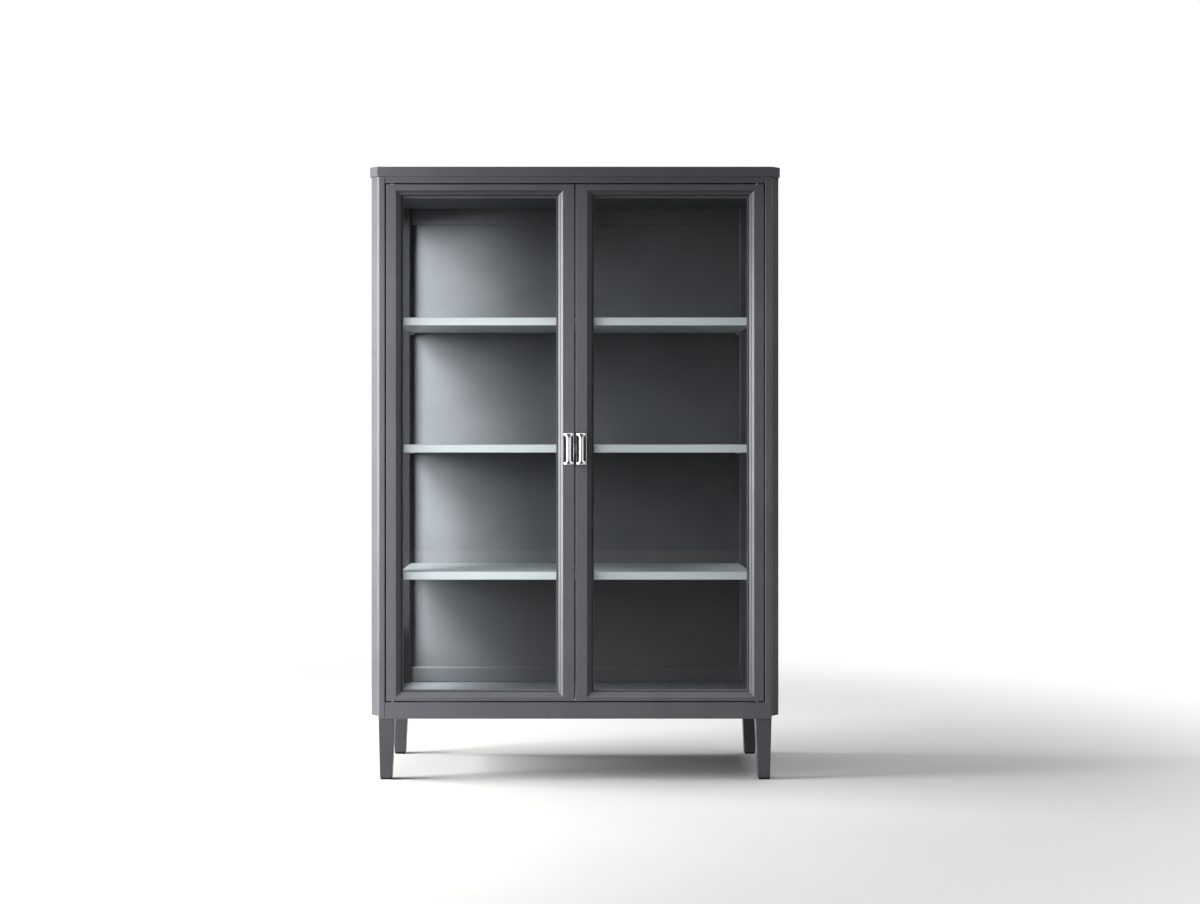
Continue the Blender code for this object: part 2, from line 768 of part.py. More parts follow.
def make_catch():
    """A double magnetic catch under the ceiling, just behind the closed meeting stiles."""
    near = door_back + CATCH_GAP
    catch = box(
        "magnetic_catch",
        (-CATCH_WIDTH / 2, near, ceiling - CLEAR - CATCH_HEIGHT),
        (CATCH_WIDTH / 2, near + CATCH_DEPTH, ceiling - CLEAR),
    )
    round_edges(catch, EDGE_ROUND, on("z", ceiling - CLEAR - CATCH_HEIGHT))
    make_part(catch, nylon)


for old in list(bpy.data.objects):
    bpy.data.objects.remove(old)

parts = new_collection("display_cabinet")
cutters = new_collection("cutters")
# The handles stand further forward than the slab, so the cabinet moves back by half the difference.
cabinet = new_empty("cabinet", (0, (HANDLE_REACH - SLAB_OVERHANG) / 2, 0))

lacquer = new_material("graphite_lacquer", (0.107, 0.105, 0.117), 0.38)
shelf_lacquer = new_material("pale_lacquer", (0.650, 0.700, 0.716), 0.35)
glass = new_material("clear_glass", (0.93, 0.97, 0.95), 0.02, transmission=1.0)
chrome = new_material("chrome_plate", (0.80, 0.81, 0.82), 0.08, metallic=1.0)
steel = new_material("bright_steel", (0.56, 0.57, 0.58), 0.30, metallic=1.0)
nylon = new_material("black_nylon", (0.015, 0.015, 0.016), 0.50)

slots = {name: pane_box(f"{name}_pane_grooves", side, CLEAR) for name, side in SIDES.items()}
pivots = make_pivot_bores()
make_slab()
make_posts(slots, make_leg_bores(), make_shelf_bores())
make_front_rails(pivots)
make_boards()
make_back()
make_sides(slots)
make_legs()
make_shelves()
make_pivot_pins()
for door_name, door_side in SIDES.items():
    make_door(door_name, door_side, pivots)
make_catch()
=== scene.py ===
import math

import bmesh
import bpy
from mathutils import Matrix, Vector


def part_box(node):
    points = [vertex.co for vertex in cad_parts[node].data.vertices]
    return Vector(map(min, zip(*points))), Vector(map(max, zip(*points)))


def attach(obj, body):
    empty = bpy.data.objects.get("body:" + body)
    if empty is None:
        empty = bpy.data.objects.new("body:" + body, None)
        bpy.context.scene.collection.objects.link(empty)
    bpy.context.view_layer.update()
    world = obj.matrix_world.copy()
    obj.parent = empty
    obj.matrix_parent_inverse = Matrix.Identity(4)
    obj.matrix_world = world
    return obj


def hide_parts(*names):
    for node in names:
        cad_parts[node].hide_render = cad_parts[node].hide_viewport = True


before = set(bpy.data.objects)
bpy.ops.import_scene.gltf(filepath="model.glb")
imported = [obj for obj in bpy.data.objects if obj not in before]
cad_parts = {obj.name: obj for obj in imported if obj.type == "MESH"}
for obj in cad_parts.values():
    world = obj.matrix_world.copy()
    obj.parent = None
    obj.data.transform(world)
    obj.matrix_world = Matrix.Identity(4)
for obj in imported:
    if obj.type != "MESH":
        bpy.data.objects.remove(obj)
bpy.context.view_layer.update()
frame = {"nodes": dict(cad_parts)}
print("frame loaded:", len(frame["nodes"]), "CAD nodes")

sides = {"left": -1, "right": 1}
joint = 0.0002  # hairline left where a trim piece meets what carries it


# Materials

def hexToLinear(hexColour):
    channels = [int(hexColour[at:at + 2], 16) / 255 for at in (1, 3, 5)]
    return [c / 12.92 if c <= 0.04045 else ((c + 0.055) / 1.055) ** 2.4 for c in channels] + [1.0]


def feed(tree, node, feeds):
    for socket, value in feeds.items():
        if isinstance(value, bpy.types.NodeSocket):
            tree.links.new(value, node.inputs[socket])
        else:
            node.inputs[socket].default_value = value


def addNode(tree, kind, feeds, **settings):
    made = tree.nodes.new(kind)
    for name, value in settings.items():
        setattr(made, name, value)
    feed(tree, made, feeds)
    live = [socket for socket in made.outputs if socket.enabled]
    return live[0] if len(live) == 1 else made.outputs


def startMaterial(name):
    made = bpy.data.materials.new(name)
    made.use_nodes = True
    tree = made.node_tree
    place = addNode(tree, "ShaderNodeTexCoord", {})["Object"]  # metres, and it swings with a door
    return made, tree, tree.nodes["Principled BSDF"], place


noiseRange = (0.3, 0.7)  # most of a noise texture's values lie between these

graphiteLook = {
    "body": "#6E6D74",
    "deep": "#68676E",
    "rubbed": "#88878D",
    "roughness": (0.34, 0.42),
    "ior": 1.5,
    "shine": 0.5,
    "mottle": 0.120,  # metres across one drift of colour
    "drift": (0.35, 0.65),  # noise values between which the body turns to the deep colour
    "fog": 0.040,  # metres across one patch of duller sheen
    "peel": 0.007,  # real orange peel is about 2.5 mm, drawn coarser so that it shows
    "peelHeight": 0.000020,
    "rubbedWidth": 0.0012,
    "rubbedTurn": (0.98, 0.75),  # cosines of an arris's turn between which it shows rubbed and takes a painted highlight
    "rubbedShare": 0.35,
}
# Darker, matt copy of the graphite lacquer for the boards inside: its darker tone paints the shade inside the
# cabinet
insideShadedLook = {
    **graphiteLook, "body": "#58595C", "deep": "#535457", "rubbed": "#6E6F72", "roughness": (0.55, 0.65),
    "shine": 0.05,  # left matt inside
    "peelHeight": 0.000006,
}
rearPostShadedLook = {**graphiteLook, "turned": ((0.0, -1.0, 0.0), 0.7, "#3C3D40")}  # painted shade: darker on the faces turned towards the doors
topRailShadedLook = {**graphiteLook, "turned": ((0.0, 0.0, -1.0), 0.2, "#2C2B2F")}  # painted shade: darker on what faces down
legLook = {**graphiteLook, "body": "#58575D", "deep": "#525157", "rubbed": "#6E6D72"}  # a little darker
floorBoardLook = {**graphiteLook, "body": "#6E7276", "deep": "#696D71", "rubbed": "#7E8286", "shine": 0.2}
paleLook = {
    **graphiteLook, "body": "#E2E7EA", "deep": "#DCE2E5", "rubbed": "#ECEFF2", "roughness": (0.30, 0.38),
    "mottle": 0.150,
    "fog": 0.050,
    "peelHeight": 0.000015,
    "rubbedShare": 0.30,
    "turned": ((0.0, 0.0, -1.0), 0.7, "#A9AEB1"),  # painted shade on the undersides
}


# Lacquer sprayed on primed board: an even satin with a soft sheen, a slight orange peel,
# and arrises drawn as a lighter line, partly rubbed wear and partly painted highlight.
def sprayedLacquer(name, look):
    made, tree, shader, place = startMaterial(name)
    drift = addNode(
        tree, "ShaderNodeTexNoise", {"Vector": place, "Scale": 1 / look["mottle"], "Detail": 3.0},
    )[0]
    even = addNode(tree, "ShaderNodeMapRange", {0: drift, 1: look["drift"][0], 2: look["drift"][1]})
    body = addNode(
        tree, "ShaderNodeMix", {0: even, 6: hexToLinear(look["body"]), 7: hexToLinear(look["deep"])},
        data_type="RGBA",
    )
    # painted highlight and wear: the colour turns lighter where an arris turns away from the face
    rounded = addNode(tree, "ShaderNodeBevel", {"Radius": look["rubbedWidth"]}, samples=4)
    facing = addNode(tree, "ShaderNodeNewGeometry", {})["Normal"]
    turn = addNode(tree, "ShaderNodeVectorMath", {0: rounded, 1: facing}, operation="DOT_PRODUCT")
    flat, turned = look["rubbedTurn"]
    rubbed = addNode(
        tree, "ShaderNodeMapRange", {0: turn, 1: flat, 2: turned, 3: 0.0, 4: look["rubbedShare"]},
    )
    colour = addNode(
        tree, "ShaderNodeMix", {0: rubbed, 6: body, 7: hexToLinear(look["rubbed"])}, data_type="RGBA",
    )
    if "turned" in look:  # faces turned this way take a darker tone, as the photograph's light leaves them
        heading, least, dark = look["turned"]
        away = addNode(tree, "ShaderNodeVectorMath", {0: facing, 1: heading}, operation="DOT_PRODUCT")
        away = addNode(tree, "ShaderNodeMath", {0: away, 1: least}, operation="GREATER_THAN")
        colour = addNode(tree, "ShaderNodeMix", {0: away, 6: colour, 7: hexToLinear(dark)}, data_type="RGBA")
    fog = addNode(
        tree, "ShaderNodeTexNoise", {"Vector": place, "Scale": 1 / look["fog"], "Detail": 4.0},
    )[0]
    low, high = look["roughness"]
    least, most = noiseRange
    roughness = addNode(tree, "ShaderNodeMapRange", {0: fog, 1: least, 2: most, 3: low, 4: high})
    waves = addNode(
        tree, "ShaderNodeTexNoise", {"Vector": place, "Scale": 1 / look["peel"], "Detail": 1.0},
    )[0]
    peel = addNode(
        tree, "ShaderNodeBump", {"Height": waves, "Strength": 1.0, "Distance": look["peelHeight"]},
    )
    feed(tree, shader, {
        "Base Color": colour, "Roughness": roughness, "Normal": peel, "IOR": look["ior"],
        "Specular IOR Level": look["shine"],
    })
    return made


glassLook = {
    "tint": "#F8FAFA",
    "ior": 1.22,  # a coated pane throws back far less than plain float at 1.5
    "wave": 0.180,  # slow ripple left in the sheet
    "waveHeight": 0.000010,
    "smear": 0.060,
    "smeared": (0.45, 0.75),  # noise values between which a smear builds up
    "roughness": (0.0, 0.012),
}


# Float glass with an anti-reflective coating: clear, a breath of green, only a faint sheen.
def coatedFloatGlass(name, look):
    made, tree, shader, place = startMaterial(name)
    ripple = addNode(
        tree, "ShaderNodeTexNoise", {"Vector": place, "Scale": 1 / look["wave"], "Detail": 0.0},
    )[0]
    bump = addNode(
        tree, "ShaderNodeBump", {"Height": ripple, "Strength": 1.0, "Distance": look["waveHeight"]},
    )
    smear = addNode(
        tree, "ShaderNodeTexNoise", {"Vector": place, "Scale": 1 / look["smear"], "Detail": 5.0},
    )[0]
    low, high = look["roughness"]
    least, most = look["smeared"]
    roughness = addNode(tree, "ShaderNodeMapRange", {0: smear, 1: least, 2: most, 3: low, 4: high})
    feed(tree, shader, {
        "Base Color": hexToLinear(look["tint"]), "Roughness": roughness, "Normal": bump,
        "IOR": look["ior"], "Transmission Weight": 1.0,
    })
    clear = addNode(tree, "ShaderNodeBsdfTransparent", {"Color": hexToLinear(look["tint"])})
    fromLamp = addNode(tree, "ShaderNodeLightPath", {})["Is Shadow Ray"]
    pane = addNode(tree, "ShaderNodeMixShader", {0: fromLamp, 1: shader.outputs[0], 2: clear})
    feed(tree, tree.nodes["Material Output"], {"Surface": pane})
    return made


chromeLook = {
    "plate": "#F0F1F3",
    "shade": "#E4E6E9",
    "roughness": (0.04, 0.09),
    "haze": 0.012,
    "polish": 0.0030,  # real polishing lines are about 0.1 mm, drawn coarser so that they show
    "polishHeight": 0.0000006,
    "drawn": (1.0, 1.0, 0.06),  # the lines run up the handle
}


# Chromium plated over polished zinc: a bright cool mirror with faint polishing haze.
def platedChrome(name, look):
    made, tree, shader, place = startMaterial(name)
    haze = addNode(
        tree, "ShaderNodeTexNoise", {"Vector": place, "Scale": 1 / look["haze"], "Detail": 3.0},
    )[0]
    colour = addNode(
        tree, "ShaderNodeMix", {0: haze, 6: hexToLinear(look["plate"]), 7: hexToLinear(look["shade"])},
        data_type="RGBA",
    )
    low, high = look["roughness"]
    least, most = noiseRange
    roughness = addNode(tree, "ShaderNodeMapRange", {0: haze, 1: least, 2: most, 3: low, 4: high})
    lines = addNode(tree, "ShaderNodeMapping", {"Vector": place, "Scale": look["drawn"]})
    polish = addNode(
        tree, "ShaderNodeTexNoise", {"Vector": lines, "Scale": 1 / look["polish"], "Detail": 2.0},
    )[0]
    bump = addNode(
        tree, "ShaderNodeBump", {"Height": polish, "Strength": 1.0, "Distance": look["polishHeight"]},
    )
    feed(tree, shader, {"Base Color": colour, "Roughness": roughness, "Normal": bump, "Metallic": 1.0})
    return made


steelLook = {
    "metal": "#B9B8B4",
    "dull": "#8F8E8B",
    "roughness": (0.22, 0.40),
    "cloud": 0.006,
    "turning": 0.0006,  # real tool marks are about 0.1 mm, drawn coarser so that they show
    "turningHeight": 0.000004,
}


# Turned steel, zinc plated: a soft grey shine broken by tool marks.
def turnedSteel(name, look):
    made, tree, shader, place = startMaterial(name)
    cloud = addNode(
        tree, "ShaderNodeTexNoise", {"Vector": place, "Scale": 1 / look["cloud"], "Detail": 4.0},
    )[0]
    colour = addNode(
        tree, "ShaderNodeMix", {0: cloud, 6: hexToLinear(look["metal"]), 7: hexToLinear(look["dull"])},
        data_type="RGBA",
    )
    low, high = look["roughness"]
    least, most = noiseRange
    roughness = addNode(tree, "ShaderNodeMapRange", {0: cloud, 1: least, 2: most, 3: low, 4: high})
    marks = addNode(
        tree, "ShaderNodeTexNoise", {"Vector": place, "Scale": 1 / look["turning"], "Detail": 1.0},
    )[0]
    bump = addNode(
        tree, "ShaderNodeBump", {"Height": marks, "Strength": 1.0, "Distance": look["turningHeight"]},
    )
    feed(tree, shader, {"Base Color": colour, "Roughness": roughness, "Normal": bump, "Metallic": 1.0})
    return made


nylonLook = {
    "body": "#0C0C0D",
    "scuffed": "#161618",
    "roughness": (0.48, 0.62),
    "ior": 1.53,
    "shine": 0.3,
    "scuff": 0.009,
    "worn": (0.5, 0.75),  # noise values between which a scuff builds up
    "grain": 0.0012,  # real mould texture is about 0.3 mm, drawn coarser so that it shows
    "grainHeight": 0.000020,
}


# Injection-moulded nylon: near black, dull, with a fine even mould texture and pale scuffs.
def mouldedNylon(name, look):
    made, tree, shader, place = startMaterial(name)
    scuff = addNode(
        tree, "ShaderNodeTexNoise", {"Vector": place, "Scale": 1 / look["scuff"], "Detail": 5.0},
    )[0]
    worn = addNode(tree, "ShaderNodeMapRange", {0: scuff, 1: look["worn"][0], 2: look["worn"][1]})
    colour = addNode(
        tree, "ShaderNodeMix", {0: worn, 6: hexToLinear(look["body"]), 7: hexToLinear(look["scuffed"])},
        data_type="RGBA",
    )
    low, high = look["roughness"]
    least, most = noiseRange
    roughness = addNode(tree, "ShaderNodeMapRange", {0: scuff, 1: least, 2: most, 3: high, 4: low})
    grain = addNode(
        tree, "ShaderNodeTexNoise", {"Vector": place, "Scale": 1 / look["grain"], "Detail": 1.0},
    )[0]
    bump = addNode(
        tree, "ShaderNodeBump", {"Height": grain, "Strength": 1.0, "Distance": look["grainHeight"]},
    )
    feed(tree, shader, {
        "Base Color": colour, "Roughness": roughness, "Normal": bump, "IOR": look["ior"],
        "Specular IOR Level": look["shine"],
    })
    return made


ownLooks = {  # nodes whose tone differs from that of their slot
    "sprayedInsideLacquer": (
        insideShadedLook, ("back_panel", "back_top_rail", "back_bottom_rail", "ceiling_panel"),
    ),
    "sprayedFloorLacquer": (floorBoardLook, ("floor_panel",)),
    "sprayedLegLacquer": (legLook, ("front_left_leg", "front_right_leg", "rear_left_leg", "rear_right_leg")),
    "sprayedPostLacquer": (rearPostShadedLook, ("rear_left_post", "rear_right_post")),
    "sprayedRailLacquer": (topRailShadedLook, ("left_door_top_rail", "right_door_top_rail")),
}
ownFinishes = {}
for materialName, (look, nodeNames) in ownLooks.items():
    lacquer = sprayedLacquer(materialName, look)
    ownFinishes.update({nodeName: lacquer for nodeName in nodeNames})
finishes = {
    "graphite_lacquer": sprayedLacquer("sprayedGraphiteLacquer", graphiteLook),
    "pale_lacquer": sprayedLacquer("sprayedPaleLacquer", paleLook),
    "clear_glass": coatedFloatGlass("coatedFloatGlass", glassLook),
    "chrome_plate": platedChrome("platedChrome", chromeLook),
    "bright_steel": turnedSteel("turnedSteel", steelLook),
    "black_nylon": mouldedNylon("mouldedNylon", nylonLook),
}
print("materials made:", len(finishes) + len(ownLooks))


# CAD nodes: own finish, and arrises eased so that they catch the light

easedArris = {
    "graphite_lacquer": 0.0006,
    "pale_lacquer": 0.0005,
    "clear_glass": 0.0003,
    "chrome_plate": 0.0003,
    "bright_steel": 0.0002,
    "black_nylon": 0.0004,
}
softArris = {"back_bottom_rail": 0.0025, "back_top_rail": 0.0025}  # these two show a broader light line
dressLook = {"weld": 0.00001, "flatAngle": 0.5, "arrisAngle": 32, "arrisSteps": 2}  # metres and degrees
for name, node in frame["nodes"].items():
    slotName = node.material_slots[0].material.name
    node.material_slots[0].material = ownFinishes.get(name, finishes[slotName])
    weld = node.modifiers.new("weld", "WELD")
    weld.merge_threshold = dressLook["weld"]
    flat = node.modifiers.new("flat", "DECIMATE")  # joins the triangles of a flat face
    flat.decimate_type = "DISSOLVE"
    flat.angle_limit = math.radians(dressLook["flatAngle"])
    ease = node.modifiers.new("ease", "BEVEL")
    ease.width = softArris.get(name, easedArris[slotName])
    ease.segments = dressLook["arrisSteps"]
    ease.limit_method = "ANGLE"
    ease.angle_limit = math.radians(dressLook["arrisAngle"])
    node.modifiers.new("shade", "WEIGHTED_NORMAL")
print("CAD nodes dressed")


# Trim pieces

sharpAngle = 35  # degrees, above which an edge of a trim piece stays crisp


def meshObject(name, shape):
    mesh = bpy.data.meshes.new(name)
    shape.to_mesh(mesh)
    shape.free()
    made = bpy.data.objects.new(name, mesh)
    bpy.context.scene.collection.objects.link(made)
    return made


def newPiece(name, shape, slotName, body):
    bmesh.ops.recalc_face_normals(shape, faces=shape.faces)
    piece = meshObject(name, shape)
    for face in piece.data.polygons:
        face.use_smooth = True
    piece.data.set_sharp_from_angle(angle=math.radians(sharpAngle))
    piece.data.materials.append(finishes[slotName])
    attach(piece, body)
    return piece


def joinLoops(shape, loops, closed=False):
    pairs = list(zip(loops, loops[1:])) + ([(loops[-1], loops[0])] if closed else [])
    for near, far in pairs:
        for at in range(len(near)):
            after = (at + 1) % len(near)
            shape.faces.new((near[at], near[after], far[after], far[at]))


# Mitred bead round the inside of an opening; place turns a spot in its plane and a depth into a point
def addBead(shape, low, high, profile, place):
    loops = []
    for inset, depth in profile:
        corners = (
            (low[0] + inset, low[1] + inset), (high[0] - inset, low[1] + inset),
            (high[0] - inset, high[1] - inset), (low[0] + inset, high[1] - inset),
        )
        loops.append([shape.verts.new(place(first, second, depth)) for first, second in corners])
    joinLoops(shape, loops, closed=True)


def beadProfile(look):  # square at the pane, rounded where it shows
    width, depth, radius = look["width"], look["depth"], look["radius"]
    turns = [math.radians(90 * step / look["steps"]) for step in range(look["steps"] + 1)]
    nose = [
        (width - radius + radius * math.cos(t), depth - radius + radius * math.sin(t)) for t in turns
    ]
    return [(joint, joint), (width, joint), *nose, (joint, depth)]


def newBead(name, low, high, look, place, slotName, body):
    shape = bmesh.new()
    addBead(shape, low, high, beadProfile(look), place)
    newPiece(name, shape, slotName, body)


doorBeadLook = {"width": 0.0052, "depth": 0.0062, "radius": 0.0036, "steps": 5}
sideBeadLook = {"width": 0.0080, "depth": 0.0074, "radius": 0.0055, "steps": 5}
gasketLook = {"width": 0.0018, "depth": 0.0014, "radius": 0.0007, "steps": 3}
quirkLook = {
    "width": 0.0015,
    "depth": 0.0014,
    "radius": 0.0008,
    "steps": 4,
    "out": 0.006,  # from the sight edge back to the step between the two bevels
    "deep": 0.0052,  # from the door's face to the foot of that step
}

for sideName, side in sides.items():
    door = f"{sideName}_door"
    stiles = sorted((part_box(f"{door}_hinge_stile"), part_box(f"{door}_meeting_stile")), key=lambda b: b[0].x)
    low = (stiles[0][1].x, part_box(f"{door}_bottom_rail")[1].z)
    high = (stiles[1][0].x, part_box(f"{door}_top_rail")[0].z)
    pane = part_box(f"{door}_glass")
    newBead(
        f"{door}_glass_beads", low, high, doorBeadLook, lambda x, z, depth: (x, pane[1].y + depth, z),
        "graphite_lacquer", door,
    )
    newBead(
        f"{door}_glass_gasket", low, high, gasketLook, lambda x, z, depth: (x, pane[0].y - depth, z),
        "black_nylon", door,
    )
    out = quirkLook["out"]
    stepY = stiles[0][0].y + quirkLook["deep"]
    newBead(
        f"{door}_quirk_bead", (low[0] - out, low[1] - out), (high[0] + out, high[1] + out), quirkLook,
        lambda x, z, depth: (x, stepY - depth, z), "graphite_lacquer", door,
    )

    low = (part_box(f"front_{sideName}_post")[1].y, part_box(f"{sideName}_side_bottom_rail")[1].z)
    high = (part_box(f"rear_{sideName}_post")[0].y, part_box(f"{sideName}_side_top_rail")[0].z)
    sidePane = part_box(f"{sideName}_side_glass")
    paneInside = sidePane[1].x if side < 0 else sidePane[0].x
    newBead(
        f"{sideName}_side_glass_beads", low, high, sideBeadLook,
        lambda y, z, depth: (paneInside - side * depth, y, z), "graphite_lacquer", "carcase",
    )
print("glazing beads made")


def addTurned(shape, rings, centre, axis, capped=True, steps=24):
    # each ring is (radius, height along the axis, corners): 0 corners for round, 6 for a hexagon
    axis = Vector(axis).normalized()
    across = axis.orthogonal().normalized()
    along = axis.cross(across)
    loops = []
    for radius, height, corners in rings:
        loop = []
        for step in range(steps):
            turn = 2 * math.pi * step / steps
            reach = radius
            if corners:
                part = 2 * math.pi / corners
                reach = radius / math.cos(turn % part - part / 2)
            spot = across * math.cos(turn) * reach + along * math.sin(turn) * reach + axis * height
            loop.append(shape.verts.new(Vector(centre) + spot))
        loops.append(loop)
    joinLoops(shape, loops, closed=not capped)
    if capped:
        shape.faces.new(loops[0])
        shape.faces.new(loops[-1])


domeAngles = (0, 18, 36, 52)  # degrees up a button head


def screwRings(look):  # button head with a hexagon socket
    radius, height, key, deep = look["radius"], look["height"], look["key"], look["deep"]
    turns = [math.radians(angle) for angle in domeAngles]
    dome = [(radius * math.cos(t), height * math.sin(t), 0) for t in turns]
    return [(radius, joint, 0), *dome[1:], (key, dome[-1][1], 6), (key, dome[-1][1] - deep, 6)]


def collarRings(look):  # flat ring with an eased outer edge
    bore, rim, thick, ease = look["bore"], look["rim"], look["thick"], look["ease"]
    return [
        (bore, joint, 0), (rim, joint, 0), (rim, thick - ease, 0), (rim - ease, thick, 0), (bore, thick, 0),
    ]


def addPlate(shape, centre, across, up, look):  # thin plate with rounded corners and an eased face
    across, up = Vector(across), Vector(up)
    outward = across.cross(up)
    loops = []
    for inset, height in ((0, joint), (0, look["thick"] - look["ease"]), (look["ease"], look["thick"])):
        loop = []
        for quarter, (a, b) in enumerate(((1, 1), (-1, 1), (-1, -1), (1, -1))):
            middle = (a * (look["width"] / 2 - look["corner"]), b * (look["height"] / 2 - look["corner"]))
            for step in range(look["steps"] + 1):
                turn = math.radians(90 * (quarter + step / look["steps"]))
                reach = look["corner"] - inset
                spot = across * (middle[0] + reach * math.cos(turn))
                spot = spot + up * (middle[1] + reach * math.sin(turn))
                loop.append(shape.verts.new(Vector(centre) + spot + outward * height))
        loops.append(loop)
    joinLoops(shape, loops)
    shape.faces.new(loops[0])
    shape.faces.new(loops[-1])


handleScrewLook = {"radius": 0.0040, "height": 0.0022, "key": 0.0013, "deep": 0.0008, "spread": 0.034}
strikeLook = {
    "width": 0.017, "height": 0.0105, "corner": 0.002, "thick": 0.0011, "ease": 0.0003, "steps": 4,
    "screws": 0.0055,  # from the middle of a plate to each of its screws
}
strikeScrewLook = {"radius": 0.0022, "height": 0.0006, "key": 0.0008, "deep": 0.0003}

handleLook = {
    "grip": 0.0120,
    "head": 0.0234,
    "block": 0.0055,  # full width of a head, from its end
    "flare": 0.0120,  # from an end to where its head has drawn in to the grip
    "thick": 0.0090,
    "ease": 0.0018,
    "along": 64,
    "around": 32,
    "neck": (0.0140, 0.0066),
    "foot": 0.0012,  # how far a neck spreads where it meets the plate
    "spread": ((0.0, 1.0), (0.08, 0.55), (0.2, 0.2), (0.35, 0.0), (1.0, 0.0)),  # way up, share of foot
    "stem": 0.42,  # share of the flare at which a neck stands
    "endSteps": 5,
}
rimLook = {"width": 0.0011, "depth": 0.0009, "radius": 0.0005, "steps": 3}


def addLoft(shape, sections):  # closed skin over rings of points
    loops = [[shape.verts.new(spot) for spot in ring] for ring in sections]
    joinLoops(shape, loops)
    shape.faces.new(loops[0])
    shape.faces.new(loops[-1])


def gripSections(look, length, place):  # half round bar whose ends flare into heads
    sections = []
    ease, along = look["ease"], look["along"]
    rounding = [math.radians(90 * step / look["endSteps"]) for step in range(look["endSteps"])]
    ends = [(ease * (1 - math.cos(t)), ease * (1 - math.sin(t))) for t in rounding]
    spread = [ease + (length - 2 * ease) * step / along for step in range(along + 1)]
    stations = ends + [(at, 0.0) for at in spread] + [(length - at, less) for at, less in reversed(ends)]
    turns = [2 * math.pi * step / look["around"] for step in range(look["around"])]
    for at, less in stations:
        near = min(at, length - at)
        drawn = (near - look["block"]) / (look["flare"] - look["block"])
        flare = (1 - min(1.0, max(0.0, drawn))) ** 2
        half = look["grip"] / 2 + (look["head"] - look["grip"]) / 2 * flare - less
        deep = look["thick"] / 2 - less
        sections.append([place(half * math.cos(t), deep * math.sin(t), at) for t in turns])
    return sections


def neckSections(look, reach, place):  # oval stem from the plate to the back of a head
    wide, high = look["neck"]
    sections = []
    turns = [2 * math.pi * step / look["around"] for step in range(look["around"])]
    for share, more in look["spread"]:
        halfWide, halfHigh = wide / 2 + look["foot"] * more, high / 2 + look["foot"] * more
        sections.append([place(halfWide * math.cos(t), share * reach, halfHigh * math.sin(t)) for t in turns])
    return sections


def unionOf(shapes):  # one closed mesh from overlapping solids
    solids = []
    for number, shape in enumerate(shapes):
        bmesh.ops.recalc_face_normals(shape, faces=shape.faces)
        solids.append(meshObject(f"solid{number}", shape))
    for other in solids[1:]:
        step = solids[0].modifiers.new(other.name, "BOOLEAN")
        step.operation = "UNION"
        step.object = other
    bpy.context.view_layer.update()
    mesh = bpy.data.meshes.new_from_object(solids[0].evaluated_get(bpy.context.evaluated_depsgraph_get()))
    joined = bmesh.new()
    joined.from_mesh(mesh)
    bpy.data.meshes.remove(mesh)
    for solid in solids:
        bpy.data.objects.remove(solid)
    return joined


for sideName in sides:
    door = f"{sideName}_door"
    low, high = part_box(f"{sideName}_handle")
    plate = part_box(f"{sideName}_handle_plate")
    middle = (low.x + high.x) / 2
    front = low.y + joint
    axis = front + handleLook["thick"] / 2
    grip = bmesh.new()
    addLoft(grip, gripSections(
        handleLook, high.z - low.z - 2 * joint, lambda u, d, w: (middle + u, axis + d, low.z + joint + w),
    ))
    shapes = [grip]
    inward = handleLook["flare"] * handleLook["stem"]
    for stemZ in (low.z + inward, high.z - inward):
        stem = bmesh.new()
        reach = plate[0].y - joint - axis
        addLoft(stem, neckSections(
            handleLook, reach, lambda u, d, w: (middle + u, plate[0].y - joint - d, stemZ + w),
        ))
        shapes.append(stem)
    piece = newPiece(f"{sideName}_handle_cast", unionOf(shapes), "chrome_plate", door)
    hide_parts(f"{sideName}_handle")

    newBead(
        f"{sideName}_handle_rim", (plate[0].x, plate[0].z), (plate[1].x, plate[1].z), rimLook,
        lambda x, z, depth: (x, plate[0].y - depth, z), "chrome_plate", door,
    )
print("handles cast")

# Bulb seal down the gap between the doors
sealLook = {"width": 0.0022, "front": 0.008, "back": 0.020, "short": 0.004, "round": 0.0006, "steps": 4}
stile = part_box("left_door_meeting_stile")
low = (stile[1].x + joint, stile[0].y + sealLook["front"], stile[0].z + sealLook["short"])
high = (stile[1].x + sealLook["width"], stile[0].y + sealLook["back"], stile[1].z - sealLook["short"])
shape = bmesh.new()
nose = [math.radians(90 * step / sealLook["steps"]) for step in range(sealLook["steps"] + 1)]
lip = sealLook["round"]
lips = [(high[0] - lip * (1 - math.cos(t)), lip * (1 - math.sin(t))) for t in nose]
outline = [(low[0], low[1]), *[(x, low[1] + y) for x, y in reversed(lips)]]
outline += [*[(x, high[1] - y) for x, y in lips], (low[0], high[1])]
addLoft(shape, [[(x, y, z) for x, y in outline] for z in (low[2], high[2])])
newPiece("left_door_edge_seal", shape, "black_nylon", "left_door")

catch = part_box("magnetic_catch")
catchMiddle = (catch[0].z + catch[1].z) / 2
for sideName, side in sides.items():
    door = f"{sideName}_door"
    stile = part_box(f"{door}_meeting_stile")
    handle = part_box(f"{sideName}_handle")
    doorBack = stile[1].y
    handleX = (handle[0].x + handle[1].x) / 2
    handleZ = (handle[0].z + handle[1].z) / 2
    shape = bmesh.new()
    for end in (-1, 1):
        centre = (handleX, doorBack, handleZ + end * handleScrewLook["spread"])
        addTurned(shape, screwRings(handleScrewLook), centre, (0, 1, 0))
    newPiece(f"{sideName}_handle_screws", shape, "bright_steel", door)

    strikeX = side * catch[1].x / 2
    shape = bmesh.new()
    addPlate(shape, (strikeX, doorBack, catchMiddle), (-1, 0, 0), (0, 0, 1), strikeLook)
    for end in (-1, 1):
        centre = (strikeX + end * strikeLook["screws"], doorBack + strikeLook["thick"], catchMiddle)
        addTurned(shape, screwRings(strikeScrewLook), centre, (0, 1, 0))
    newPiece(f"{sideName}_strike_plate", shape, "bright_steel", door)

